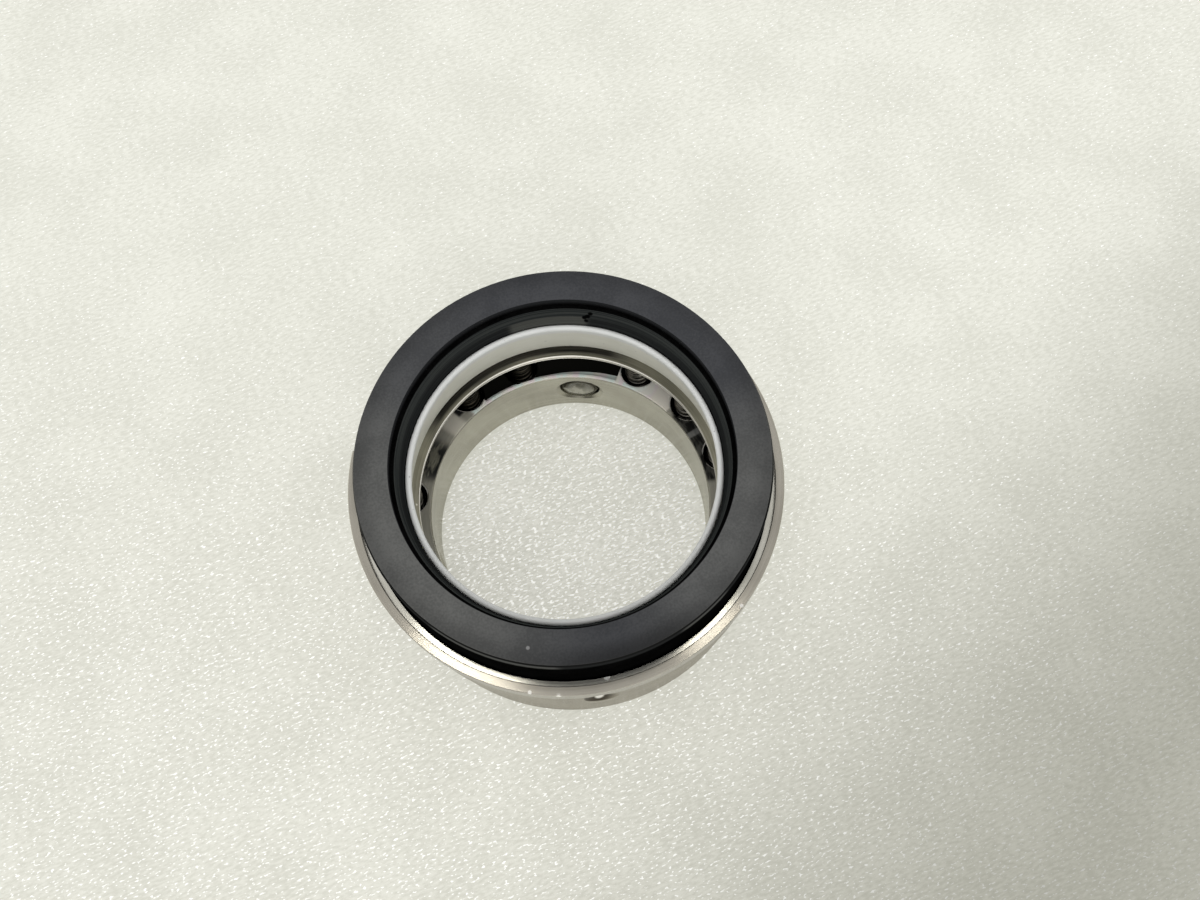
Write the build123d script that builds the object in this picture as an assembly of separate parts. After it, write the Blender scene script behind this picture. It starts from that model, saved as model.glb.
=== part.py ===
from build123d import *
import os
from math import cos, pi, sqrt

# Component mechanical seal for a rotating shaft: a turned retainer holds a carbon sealing ring,
# a wedge ring that seals on the shaft, a thrust disc and a circle of small coil springs.
# Millimetres and degrees. Z is the shaft's axis, the origin is the centre of the back face,
# and the sealing face looks along +Z. Azimuths run counter-clockwise from +X.

# Shaft and retainer
SHAFT_DIAMETER = 40.0
BORE_CLEARANCE = 0.05  # radial, between the shaft and the retainer's bore
BODY_WALL = 1.55  # outside the wall that runs round the thrust disc
UPPER_STEP = 1.8  # how much further out the wall round the carbon ring lies
SHELL_WALL = 0.55  # the thin metal round the carbon ring
RIM_SWELL = 0.65  # how far the rim stands out beyond the shell
LEDGE_HEIGHT = 10.2  # the ledge that holds the spring pockets
STEP_HEIGHT = 10.6  # where the body swells out into the shell
RIM_HEIGHT = 22.8
RIM_BAND = 2.4  # height of the rim's outside
BACK_CHAMFER = 0.3
BORE_CHAMFER = 0.3
LEDGE_CHAMFER = 0.25
EDGE_CHAMFER = 0.1

# Relief cut in the ledge beside the wall
RELIEF_AZIMUTH = 90.0
RELIEF_SPAN = 57.0
RELIEF_DEPTH = 1.0
RELIEF_LIP = 0.5  # ledge left between the relief and the bore

# Slot in the rim for prying the snap ring out
SLOT_AZIMUTH = 160.0
SLOT_WIDTH = 3.0
SLOT_DEPTH = 4.5

# Snap ring and its groove
SNAP_THICKNESS = 1.2
SNAP_GAP = 54.4  # degrees between the ring's two ends
RIM_LIP = 0.85  # metal above the groove
GROOVE_DEPTH = 0.6
GROOVE_CLEARANCE = 0.05  # axial, above and below the snap ring
GROOVE_SLACK = 0.1  # radial, behind the snap ring

# Carbon sealing ring
FLANGE_THICKNESS = 2.1
FLOAT_CLEARANCE = 0.3  # radial, between the flange and the shell
FLOAT_ROOM = 2.4  # axial, between the flange and the step in the wall below it
SHOULDER_WIDTH = 0.7  # the part of the flange that the snap ring holds
SNAP_CLEARANCE = 0.25  # radial, between the nose and the snap ring
NOSE_LENGTH = 9.8
FACE_WIDTH = 4.65  # with the bevel round it
FACE_BEVEL_WIDTH = 0.3
FACE_BEVEL_HEIGHT = 0.8
FACE_STEP_DEPTH = 1.5
FACE_STEP_WIDTH = 0.54
FACE_STEP_SLOPE = 0.15
TAPER_DEPTH = 4.7
RING_CHAMFER = 0.15

# Wedge ring
LIP_CLEARANCE = 0.1  # radial, between the lip and the shaft
LIP_THICKNESS = 0.85
LIP_TOP_DROP = 4.4  # from the sealing face down to the lip's crest
WEDGE_CLEARANCE = 1.2  # radial, between the wedge and the retainer's wall
WEDGE_FLARE = 1.4  # how far the inner wall opens towards the springs
WEDGE_STANDOFF = 0.6  # how far the wedge stands out below the flange
WEDGE_RIM = 2.7  # straight outer wall below the cone
SEAT_CLEARANCE = 0.1  # between the wedge and its seat in the carbon ring

# Thrust disc
DISC_THICKNESS = 3.0
DISC_CLEARANCE = 0.5  # radial, between the disc and the retainer's wall
DISC_BORE_CLEARANCE = 0.75  # radial, between the disc and the shaft
DISC_CONE_DEPTH = 1.6
DISC_EDGE_RADIUS = 0.5
DISC_CHAMFER = 0.3

# Springs and their pockets
SPRING_DIAMETER = 4.0
SPRING_WIRE = 0.75
SPRING_TURNS = 9
POCKET_CLEARANCE = 0.6  # radial, between a spring and its pocket
POCKET_DEPTH = 7.0
POCKET_CHAMFER = 0.2
POCKET_OUTER_LAND = 0.3  # ledge left between a pocket and the wall
POCKET_INNER_LAND = 0.65  # ledge left between a pocket and the bore
POCKET_POSITIONS = 16
FIRST_POCKET_AZIMUTH = 10.0
BLANK_POSITION = 6  # left undrilled beside the rim slot
COIL_SIDES = 8  # straight runs in one turn of a spring
WIRE_SIDES = 6

# Cup-point set screws
SCREW_DIAMETER = 6.0
SCREW_LENGTH = 6.0
SCREW_HEIGHT = 5.5
SCREW_SETBACK = 0.25  # from the bore's wall to the screw's point
SCREW_AZIMUTHS = (77.5, 197.5, 317.5)
SCREW_KEEP_OUT = 12.0  # degrees on each side of a screw without a pocket
THREAD_CLEARANCE = 0.05
CUP_DIAMETER = 3.5
CUP_DEPTH = 1.0
POINT_CHAMFER = 0.45
HEX_WIDTH = 3.0
HEX_DEPTH = 2.8
HOLE_CHAMFER = 0.25
MOUTH_OVERRUN = 1.0  # how far a hole's chamfer tool reaches past the curved wall

# Pressed dents in the shell that turn the carbon ring
DENT_AZIMUTHS = (90.0, 270.0)
DENT_WIDTH = 5.2
DENT_HEIGHT = 8.0
DENT_DEPTH = 0.75
DENT_EDGE = 0.65  # between the groove and the dent's upper end
BOSS_INSET = 0.3  # how much narrower each side of the dent is on the inside
DRIVE_CLEARANCE = 0.3

# Radii
shaft_r = SHAFT_DIAMETER / 2
bore_r = shaft_r + BORE_CLEARANCE
pocket_r = SPRING_DIAMETER / 2 + POCKET_CLEARANCE
pocket_circle_r = bore_r + POCKET_INNER_LAND + pocket_r
lower_wall_r = pocket_circle_r + pocket_r + POCKET_OUTER_LAND
body_r = lower_wall_r + BODY_WALL
upper_wall_r = lower_wall_r + UPPER_STEP
shell_r = upper_wall_r + SHELL_WALL
rim_r = shell_r + RIM_SWELL
groove_r = upper_wall_r + GROOVE_DEPTH
flange_r = upper_wall_r - FLOAT_CLEARANCE
nose_r = flange_r - SHOULDER_WIDTH
boss_r = nose_r + DRIVE_CLEARANCE
snap_inner_r = nose_r + SNAP_CLEARANCE
snap_outer_r = groove_r - GROOVE_SLACK
face_inner_r = nose_r - FACE_WIDTH
lip_inner_r = shaft_r + LIP_CLEARANCE
lip_outer_r = lip_inner_r + LIP_THICKNESS
wedge_r = lower_wall_r - WEDGE_CLEARANCE
wedge_inner_r = lip_inner_r + WEDGE_FLARE
disc_inner_r = shaft_r + DISC_BORE_CLEARANCE
disc_outer_r = lower_wall_r - DISC_CLEARANCE
screw_r = SCREW_DIAMETER / 2
screw_hole_r = screw_r + THREAD_CLEARANCE

# Heights
rim_bottom_z = RIM_HEIGHT - RIM_BAND
groove_top_z = RIM_HEIGHT - RIM_LIP
snap_top_z = groove_top_z - GROOVE_CLEARANCE
snap_bottom_z = snap_top_z - SNAP_THICKNESS
groove_bottom_z = snap_bottom_z - GROOVE_CLEARANCE
flange_bottom_z = snap_bottom_z - FLANGE_THICKNESS
face_z = snap_bottom_z + NOSE_LENGTH
lip_top_z = face_z - LIP_TOP_DROP
inner_step_z = flange_bottom_z - FLOAT_ROOM
wedge_bottom_z = flange_bottom_z - WEDGE_STANDOFF
wedge_shoulder_z = wedge_bottom_z + WEDGE_RIM
wedge_neck_z = wedge_shoulder_z + wedge_r - lip_outer_r
disc_bottom_z = wedge_bottom_z - DISC_THICKNESS
pocket_floor_z = LEDGE_HEIGHT - POCKET_DEPTH
spring_length = disc_bottom_z - pocket_floor_z
dent_z = groove_bottom_z - DENT_EDGE - DENT_HEIGHT / 2

BOTTOM_UP = (Align.CENTER, Align.CENTER, Align.MIN)


def section(*points):
    """The closed outline through (radius, height) points, in the plane of the axis."""
    return make_face(Plane.XZ * Polyline(*points, close=True))


def turned(*points):
    """The ring swept about the axis by such an outline."""
    return revolve(section(*points), Axis.Z)


def at_azimuth(azimuth, radius, height):
    """A place on a circle about the axis, its X pointing outwards."""
    return Rot(0, 0, azimuth) * Pos(radius, 0, height)


def sector(inner_r, outer_r, bottom_z, top_z, azimuth, span):
    """The part of a flat ring within span degrees, centred on an azimuth."""
    outline = section((inner_r, bottom_z), (outer_r, bottom_z), (outer_r, top_z), (inner_r, top_z))
    return Rot(0, 0, azimuth - span / 2) * revolve(outline, Axis.Z, revolution_arc=span)


def spring_azimuths():
    """The evenly spaced places that neither a set screw nor the blank one takes."""
    step = 360 / POCKET_POSITIONS
    places = []
    for position in range(POCKET_POSITIONS):
        azimuth = FIRST_POCKET_AZIMUTH + position * step
        to_screw = min(abs(azimuth - screw) for screw in SCREW_AZIMUTHS)
        if position != BLANK_POSITION and to_screw > SCREW_KEEP_OUT:
            places.append(azimuth)
    return places


def capsule(half_width, half_height, depth):
    """An upright round-ended tool that bites a dent of this size, its deepest point at x = 0."""
    radius = (half_width**2 + depth**2) / (2 * depth)
    straight = 2 * (half_height - half_width)
    barrel = Cylinder(radius, straight)
    ends = Pos(0, 0, straight / 2) * Sphere(radius) + Pos(0, 0, -straight / 2) * Sphere(radius)
    return Pos(radius, 0, 0) * (barrel + ends)


def dent_boss():
    """What a dent pushes into the bore of the shell."""
    inner_depth = upper_wall_r - boss_r
    half_width = DENT_WIDTH / 2 - BOSS_INSET
    half_height = DENT_HEIGHT / 2 - BOSS_INSET
    bump = Pos(boss_r, 0, dent_z) * capsule(half_width, half_height, inner_depth)
    return bump & Cylinder(upper_wall_r + SHELL_WALL / 2, groove_bottom_z, align=BOTTOM_UP)


def dent_hollow():
    """What a dent takes from the outside of the shell."""
    deepest_r = shell_r - DENT_DEPTH
    return Pos(deepest_r, 0, dent_z) * capsule(DENT_WIDTH / 2, DENT_HEIGHT / 2, DENT_DEPTH)


def screw_hole():
    """Radial hole through the body, opened out where it meets the bore and the outside."""
    reach = body_r - bore_r
    hole = Pos(bore_r + reach / 2, 0, SCREW_HEIGHT) * Rot(0, 90, 0) * Cylinder(screw_hole_r, 3 * reach)
    mouth_length = HOLE_CHAMFER + MOUTH_OVERRUN
    mouth = Cone(screw_hole_r + mouth_length, screw_hole_r, mouth_length)
    setback = (HOLE_CHAMFER - MOUTH_OVERRUN) / 2
    inner = Pos(bore_r + setback, 0, SCREW_HEIGHT) * Rot(0, 90, 0) * mouth
    outer = Pos(body_r - setback, 0, SCREW_HEIGHT) * Rot(0, -90, 0) * mouth
    keep = Cylinder(bore_r + reach / 2, 2 * RIM_HEIGHT)
    return hole + (inner & keep) + (outer - keep)


def pocket():
    """Blind hole for a spring, standing on z = 0, its mouth chamfered."""
    hole = Cylinder(pocket_r, POCKET_DEPTH, align=BOTTOM_UP)
    mouth = Cone(pocket_r, pocket_r + POCKET_CHAMFER, POCKET_CHAMFER, align=BOTTOM_UP)
    return hole + Pos(0, 0, POCKET_DEPTH - POCKET_CHAMFER) * mouth


def retainer():
    """One turned piece: thick body with the bore, thin shell above it, and a rim."""
    body = turned(
        (bore_r + BORE_CHAMFER, 0),
        (body_r - BACK_CHAMFER, 0),
        (body_r, BACK_CHAMFER),
        (body_r, STEP_HEIGHT),
        (shell_r - EDGE_CHAMFER, STEP_HEIGHT),
        (shell_r, STEP_HEIGHT + EDGE_CHAMFER),
        (shell_r, rim_bottom_z - RIM_SWELL),
        (rim_r, rim_bottom_z),
        (rim_r, RIM_HEIGHT - EDGE_CHAMFER),
        (rim_r - EDGE_CHAMFER, RIM_HEIGHT),
        (upper_wall_r + EDGE_CHAMFER, RIM_HEIGHT),
        (upper_wall_r, RIM_HEIGHT - EDGE_CHAMFER),
        (upper_wall_r, groove_top_z),
        (groove_r, groove_top_z),
        (groove_r, groove_bottom_z),
        (upper_wall_r, groove_bottom_z),
        (upper_wall_r, inner_step_z),
        (lower_wall_r, inner_step_z),
        (lower_wall_r, LEDGE_HEIGHT),
        (bore_r + LEDGE_CHAMFER, LEDGE_HEIGHT),
        (bore_r, LEDGE_HEIGHT - LEDGE_CHAMFER),
        (bore_r, BORE_CHAMFER),
    )
    body -= sector(
        bore_r + RELIEF_LIP,
        lower_wall_r,
        LEDGE_HEIGHT - RELIEF_DEPTH,
        LEDGE_HEIGHT + RELIEF_DEPTH,
        RELIEF_AZIMUTH,
        RELIEF_SPAN,
    )
    for azimuth in spring_azimuths():
        body -= at_azimuth(azimuth, pocket_circle_r, pocket_floor_z) * pocket()
    for azimuth in SCREW_AZIMUTHS:
        body -= Rot(0, 0, azimuth) * screw_hole()
    for azimuth in DENT_AZIMUTHS:
        body += Rot(0, 0, azimuth) * dent_boss()
        body -= Rot(0, 0, azimuth) * dent_hollow()
    slot = Box(2 * (rim_r - upper_wall_r), SLOT_WIDTH, 2 * SLOT_DEPTH)
    body -= at_azimuth(SLOT_AZIMUTH, (rim_r + upper_wall_r) / 2, RIM_HEIGHT) * slot
    return body


def primary_ring():
    """Carbon ring: lapped face on a long nose, flange below, conical seat for the wedge inside."""
    bore = lip_outer_r + SEAT_CLEARANCE
    seat_r = wedge_r + SEAT_CLEARANCE
    rise = SEAT_CLEARANCE * sqrt(2)
    cone_sum = wedge_r + wedge_shoulder_z + rise
    ring = turned(
        (flange_r - RING_CHAMFER, flange_bottom_z),
        (flange_r, flange_bottom_z + RING_CHAMFER),
        (flange_r, snap_bottom_z),
        (nose_r, snap_bottom_z),
        (nose_r, face_z - FACE_BEVEL_HEIGHT),
        (nose_r - FACE_BEVEL_WIDTH, face_z),
        (face_inner_r, face_z),
        (face_inner_r, face_z - FACE_STEP_DEPTH),
        (face_inner_r - FACE_STEP_WIDTH, face_z - FACE_STEP_DEPTH - FACE_STEP_SLOPE),
        (bore, face_z - TAPER_DEPTH),
        (bore, cone_sum - bore),
        (seat_r, cone_sum - seat_r),
        (seat_r, flange_bottom_z),
    )
    notch = Box(2 * (flange_r - nose_r), DENT_WIDTH + 2 * DRIVE_CLEARANCE, 2 * FLANGE_THICKNESS)
    for azimuth in DENT_AZIMUTHS:
        ring -= at_azimuth(azimuth, flange_r, flange_bottom_z) * notch
    return ring


def wedge_ring():
    """Soft ring with a round lip on the shaft and a 45 degree cone in the carbon ring."""
    crest_r = LIP_THICKNESS / 2
    crest_z = lip_top_z - crest_r
    crest = ThreePointArc(
        (lip_outer_r, crest_z),
        (lip_inner_r + crest_r, lip_top_z),
        (lip_inner_r, crest_z),
    )
    sides = Polyline(
        (lip_inner_r, crest_z),
        (wedge_inner_r, wedge_bottom_z),
        (wedge_r, wedge_bottom_z),
        (wedge_r, wedge_shoulder_z),
        (lip_outer_r, wedge_neck_z),
        (lip_outer_r, crest_z),
    )
    return revolve(make_face(Plane.XZ * (crest + sides)), Axis.Z)


def thrust_disc():
    """Steel disc between the springs and the wedge, its bore coned above and rounded below."""
    disc = turned(
        (disc_inner_r, disc_bottom_z),
        (disc_outer_r - DISC_CHAMFER, disc_bottom_z),
        (disc_outer_r, disc_bottom_z + DISC_CHAMFER),
        (disc_outer_r, wedge_bottom_z - DISC_CHAMFER),
        (disc_outer_r - DISC_CHAMFER, wedge_bottom_z),
        (wedge_inner_r, wedge_bottom_z),
        (disc_inner_r, wedge_bottom_z - DISC_CONE_DEPTH),
    )
    bore_edge = disc.edges().filter_by(GeomType.CIRCLE).group_by(Axis.Z)[0].sort_by(SortBy.RADIUS)[0]
    return fillet(bore_edge, DISC_EDGE_RADIUS)


def snap_ring():
    """Flat open ring that springs out into the groove, its gap centred on the rim slot."""
    return sector(
        snap_inner_r,
        snap_outer_r,
        snap_bottom_z,
        snap_top_z,
        SLOT_AZIMUTH + 180,
        360 - SNAP_GAP,
    )


def coil_spring():
    """A compression spring standing on z = 0, its wire run in short straight lengths, ends ground flat."""
    runs = SPRING_TURNS * COIL_SIDES
    turn_r = (SPRING_DIAMETER - SPRING_WIRE) / 2 / sqrt(cos(pi / COIL_SIDES))
    rise = (spring_length + SPRING_WIRE) / runs
    points = []
    for run in range(runs + 1):
        corner = Vector(turn_r, 0, run * rise - SPRING_WIRE / 2)
        points.append(corner.rotate(Axis.Z, 360 * run / COIL_SIDES))
    path = Polyline(*points)
    wire_r = SPRING_WIRE / 2 / sqrt(cos(pi / WIRE_SIDES))
    wire = Plane(origin=path @ 0, z_dir=path % 0) * RegularPolygon(wire_r, WIRE_SIDES)
    coil = sweep(wire, path=path, transition=Transition.RIGHT)
    return coil & Cylinder(SPRING_DIAMETER, spring_length, align=BOTTOM_UP)


def set_screw():
    """Cup-point screw along +X from its point at the origin, with a hexagon socket."""
    outline = Polyline(
        (CUP_DEPTH, 0),
        (0, CUP_DIAMETER / 2),
        (0, screw_r - POINT_CHAMFER),
        (POINT_CHAMFER, screw_r),
        (SCREW_LENGTH - POINT_CHAMFER, screw_r),
        (SCREW_LENGTH, screw_r - POINT_CHAMFER),
        (SCREW_LENGTH, 0),
        close=True,
    )
    screw = revolve(make_face(outline), Axis.X)
    hexagon = RegularPolygon(HEX_WIDTH / 2, 6, major_radius=False)
    socket = Pos(SCREW_LENGTH - HEX_DEPTH, 0, 0) * Rot(0, 90, 0) * extrude(hexagon, 2 * HEX_DEPTH)
    return screw - socket


os.makedirs("parts", exist_ok=True)
export_step(retainer(), "parts/retainer.step")
export_step(primary_ring(), "parts/primary_ring.step")
export_step(wedge_ring(), "parts/wedge_ring.step")
export_step(thrust_disc(), "parts/thrust_disc.step")
export_step(snap_ring(), "parts/snap_ring.step")

spring = coil_spring()
for number, azimuth in enumerate(spring_azimuths(), start=1):
    placed = at_azimuth(azimuth, pocket_circle_r, pocket_floor_z) * spring
    export_step(placed, f"parts/spring_{number:02d}.step")

screw = set_screw()
for number, azimuth in enumerate(SCREW_AZIMUTHS, start=1):
    placed = at_azimuth(azimuth, bore_r + SCREW_SETBACK, SCREW_HEIGHT) * screw
    export_step(placed, f"parts/set_screw_{number}.step")
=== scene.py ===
# %% [markdown]
# A component mechanical seal is a stack of turned rings: a steel retainer that is locked on a pump's
# shaft, small springs in its pockets, a steel disc, a white wedge ring and, on top, a dark carbon ring
# whose lapped face runs against a fixed seat. The solid model holds all the real sizes, so this file
# starts by loading it and only adds what the eye needs: finishes, wire, threads, floor and light.

# %% Load the solid model
import math

import bpy
from mathutils import Matrix, Vector


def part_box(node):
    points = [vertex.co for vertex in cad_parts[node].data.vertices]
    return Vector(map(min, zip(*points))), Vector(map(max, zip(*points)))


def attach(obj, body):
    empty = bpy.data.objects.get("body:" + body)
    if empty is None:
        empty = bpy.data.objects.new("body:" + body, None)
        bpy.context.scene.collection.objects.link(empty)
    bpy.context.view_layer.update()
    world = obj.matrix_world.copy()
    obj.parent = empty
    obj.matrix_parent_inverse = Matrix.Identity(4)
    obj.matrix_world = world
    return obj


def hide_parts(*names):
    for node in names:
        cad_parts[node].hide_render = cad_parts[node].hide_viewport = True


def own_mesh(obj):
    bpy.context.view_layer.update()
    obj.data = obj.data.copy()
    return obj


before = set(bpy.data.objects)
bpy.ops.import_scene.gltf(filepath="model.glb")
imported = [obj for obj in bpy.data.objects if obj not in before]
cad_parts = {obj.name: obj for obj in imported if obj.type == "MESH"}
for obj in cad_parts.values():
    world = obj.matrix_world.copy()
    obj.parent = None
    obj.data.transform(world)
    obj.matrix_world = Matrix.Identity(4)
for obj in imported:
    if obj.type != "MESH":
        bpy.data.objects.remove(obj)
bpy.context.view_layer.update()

# %% [markdown]
# Heights and the bore are read from the solids. A few surfaces lie inside a solid's box, such as the
# ledge, and are named here as the model has them. Everything is in metres, which makes a millimetre
# a handy unit of its own.

# %% Measure the pieces
MM = 0.001
face_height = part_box("primary_ring")[1].z
wedge_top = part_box("wedge_ring")[1].z
disc_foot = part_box("thrust_disc")[0].z
retainer_bore = min(math.hypot(v.co.x, v.co.y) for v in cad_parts["retainer"].data.vertices)
LEDGE_HEIGHT = 10.2 * MM
WALL_RADIUS = 26.2 * MM
BODY_RADIUS = 27.75 * MM
SHELL_RADIUS = 28.55 * MM
print("sealing face", round(face_height / MM, 2), "mm up, bore radius", round(retainer_bore / MM, 2), "mm")

# %% [markdown]
# Shader maths is easier to read as ordinary arithmetic than as a web of boxes. A small class wraps
# one output of a node and turns +, -, * and / into Math nodes. The reflected forms let a plain
# number stand on the left, as in 1 - mask. Masks are numbers from 0 to 1, and the helper at the end
# joins several of them.


# %% Let sockets do arithmetic
class Socket:
    """One output of a shader node."""

    def __init__(self, paint, output):
        self.paint = paint
        self.output = output

    def math(self, operation, *values):
        inputs = dict(enumerate(values))
        return self.paint.node("Math", {"operation": operation}, inputs)

    def __add__(self, other):
        return self.math("ADD", self, other)

    def __radd__(self, other):
        return self.math("ADD", other, self)

    def __sub__(self, other):
        return self.math("SUBTRACT", self, other)

    def __rsub__(self, other):
        return self.math("SUBTRACT", other, self)

    def __mul__(self, other):
        return self.math("MULTIPLY", self, other)

    def __truediv__(self, other):
        return self.math("DIVIDE", self, other)

    def __abs__(self):
        return self.math("ABSOLUTE", self)

    def root(self):
        return self.math("SQRT", self)

    def fraction(self):
        return self.math("FRACT", self)

    def rise(self, start, end):
        """0 at start, 1 at end and a smooth climb between them; start may be the larger."""
        settings = {"interpolation_type": "SMOOTHSTEP"}
        inputs = {"Value": self, "From Min": start, "From Max": end}
        return self.paint.node("MapRange", settings, inputs)

    def between(self, low, high, soft):
        """1 from low to high, falling to 0 over a soft edge outside them."""
        return self.rise(low - soft, low) * self.rise(high + soft, high)


def either(*masks):
    """1 where any of the masks is 1."""
    outside = 1 - masks[0]
    for mask in masks[1:]:
        outside = outside * (1 - mask)
    return 1 - outside


print("socket arithmetic ready")

# %% [markdown]
# A material is a tree of nodes. One method adds any node: its settings come first, because a setting
# such as a ramp's stops or a Math node's operation changes what the sockets mean, and the values and
# links of the sockets follow.


# %% Build materials node by node
class Paint:
    """A material under construction."""

    def __init__(self, name):
        self.material = bpy.data.materials.new(name)
        self.material.use_nodes = True
        self.tree = self.material.node_tree
        self.tree.nodes.clear()

    def feed(self, socket, value):
        if isinstance(value, Socket):
            self.tree.links.new(value.output, socket)
        elif socket.type == "RGBA":
            socket.default_value = (*value, 1)
        else:
            socket.default_value = value

    def node(self, kind, settings=None, inputs=None, output=0):
        made = self.tree.nodes.new("ShaderNode" + kind)
        for name, value in (settings or {}).items():
            setattr(made, name, value)
        for name, value in (inputs or {}).items():
            self.feed(made.inputs[name], value)
        return None if output is None else Socket(self, made.outputs[output])

    def blend(self, share, first, second):
        """Colour between first and second."""
        inputs = {0: share, 6: first, 7: second}
        return self.node("Mix", {"data_type": "RGBA"}, inputs, output=2)

    def tint(self, share, colour, filter):
        """Colour seen through a share of a coloured filter."""
        settings = {"data_type": "RGBA", "blend_type": "MULTIPLY"}
        return self.node("Mix", settings, {0: share, 6: colour, 7: filter}, output=2)

    def vector(self, x, y, z):
        return self.node("CombineXYZ", {}, {"X": x, "Y": y, "Z": z})

    def noise(self, place, scale, detail=2.0):
        return self.node("TexNoise", {}, {"Vector": place, "Scale": scale, "Detail": detail})

    def bump(self, height, distance):
        return self.node("Bump", {}, {"Height": height, "Distance": distance})

    def shader(self, **inputs):
        """A principled shader; underscores stand for the spaces in its sockets' names."""
        inputs = {name.replace("_", " "): value for name, value in inputs.items()}
        return self.node("BsdfPrincipled", {}, inputs)

    def mix(self, share, first, second):
        """A share of the second shader over the first."""
        return self.node("MixShader", {}, {0: share, 1: first, 2: second})

    def finish(self, surface):
        self.node("OutputMaterial", {}, {"Surface": surface}, output=None)
        return self.material


print("material builder ready")

# %% [markdown]
# All the rings were cut on a lathe, so their marks run round the axis. The helper below gives a
# material the distance from the axis, the height, and a place that is squeezed across the cut: noise
# read there comes out as fine lines round the ring, on flat faces and on walls alike. Four masks
# pick out a side, an arc, or small spots of a ring.


# %% Coordinates of a turned piece
class Lathe:
    """Where a point lies on a turned piece, in metres."""

    def __init__(self, paint):
        self.paint = paint
        self.place = paint.node("TexCoord", output="Object")
        split = paint.node("SeparateXYZ", {}, {"Vector": self.place}).output.node
        self.x, self.y, self.height = (Socket(paint, out) for out in split.outputs)
        self.radius = (self.x * self.x + self.y * self.y).root()
        self.east = self.x / self.radius
        self.north = self.y / self.radius

    def marks(self, spacing, spread, detail=2.0):
        """Noise that changes over the spacing across the cut and is drawn out along it."""
        across = (self.radius + self.height * 1.7) / spacing
        place = self.paint.vector(self.east * spread, self.north * spread, across)
        return self.paint.noise(place, 1.0, detail)

    def facing(self, azimuth, half_width):
        """1 at an azimuth, falling to 0 at half_width degrees on each side."""
        angle = math.radians(azimuth)
        toward = self.east * math.cos(angle) + self.north * math.sin(angle)
        return toward.rise(math.cos(math.radians(half_width)), 1.0)

    def spot(self, azimuth, radius, height, size):
        """1 within a small ball about a place on the piece, 0 outside it; lengths in millimetres."""
        angle = math.radians(azimuth)
        centre = (radius * MM * math.cos(angle), radius * MM * math.sin(angle), height * MM)
        inputs = {0: self.place, 1: centre}
        away = self.paint.node("VectorMath", {"operation": "DISTANCE"}, inputs, output=1)
        return away.rise(size * MM, size * MM * 0.5)

    def spots(self, places):
        """Small balls at several (azimuth, radius, height, size)."""
        total = self.spot(*places[0])
        for place in places[1:]:
            total = total + self.spot(*place)
        return total

    def band(self, start, end, soft=1.0):
        """1 between two azimuths, in degrees, with a short fall outside them."""
        half = (end - start) / 2
        return self.facing((start + end) / 2, half + soft).rise(0.0, min(2 * soft / half, 1.0))


print("lathe coordinates ready")

# %% [markdown]
# Turned stainless steel looks brighter across its grooves than along them, which is why a lathe-cut
# face shows bright arcs that turn with the light. Real grooves would need millions of faces, so the
# shader gets a stretched highlight instead, turned a quarter so that it runs across the cut, and only
# a faint bump for the marks that can be told apart. One helper makes the colour that all the turned
# steel shares: fine and coarse marks, and a slow cloudiness where fingers have been.

# %% Colour of turned steel
STEEL_LIGHT = (0.52, 0.505, 0.43)
STEEL_DARK = (0.40, 0.385, 0.325)
BLACK = (0.012, 0.012, 0.01)
GLINT = (0.95, 0.93, 0.88)
MARK_DEPTH = 0.001 * MM
STRETCH = 0.9
QUARTER_TURN = 0.25


def turned_colour(paint, lathe, light=STEEL_LIGHT, dark=STEEL_DARK):
    """Colour and fine marks of a lathe-cut surface."""
    fine = lathe.marks(0.12 * MM, 2.0)
    coarse = lathe.marks(0.5 * MM, 1.5)
    cloud = paint.noise(lathe.place, 160.0)
    tone = (fine * 0.3 + coarse * 0.3 + cloud * 0.4).rise(0.36, 0.64)
    return paint.blend(tone, dark, light), fine


def steel_finish(paint, colour, roughness, marks, metal=1.0):
    """Metal whose highlight is stretched across the lathe's grooves."""
    surface = paint.shader(
        Base_Color=colour,
        Metallic=metal,
        Roughness=roughness,
        Anisotropic=STRETCH,
        Anisotropic_Rotation=QUARTER_TURN,
        Normal=paint.bump(marks, MARK_DEPTH),
    )
    return paint.finish(surface)


print("turned steel from", STEEL_DARK, "to", STEEL_LIGHT)

# %% [markdown]
# The retainer is one piece but wears several looks. Its ledge was cut with a coarse feed, and such grooves
# split light into faint rainbow colours where the light falls on them; these colours are painted into the
# ledge. The relief, the pockets and the wall behind the springs are painted near-black as shade. The ledge
# comes first: its colours change with the azimuth, counted in degrees from the right.


# %% Ledge of the retainer
# Arcs in degrees. The rainbow, the white highlight and the beige highlight are painted light.
RAINBOW = (44, 127)
WHITE_HIGHLIGHT = (36, 47)
# A painted shadow beside a pocket.
POCKET_SHADOW = (128.3, 130.5)
BEIGE_HIGHLIGHT = (132, 137)
# A painted reflection of the dark ring above, mottled.
DARK_REFLECTION = (145, 158)
SHADED = (0, 33)
# A faint pale streak across the shaded arc.
PALE_STREAK = (20.8, 22.2)
GREENISH = (0.90, 1.0, 0.95)
YELLOWISH = (1.0, 0.98, 0.90)
PINKISH = (1.0, 0.90, 0.91)


def rainbow(paint, lathe):
    """Painted rainbow colours that follow one another along the ledge."""
    wave = (lathe.east * 6.0 + paint.noise(lathe.place, 300.0, 1.0)).fraction()
    colour = paint.blend(wave.rise(0.1, 0.35), GREENISH, YELLOWISH)
    colour = paint.blend(wave.rise(0.45, 0.65), colour, PINKISH)
    return paint.blend(wave.rise(0.75, 0.95), colour, GREENISH)


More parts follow.
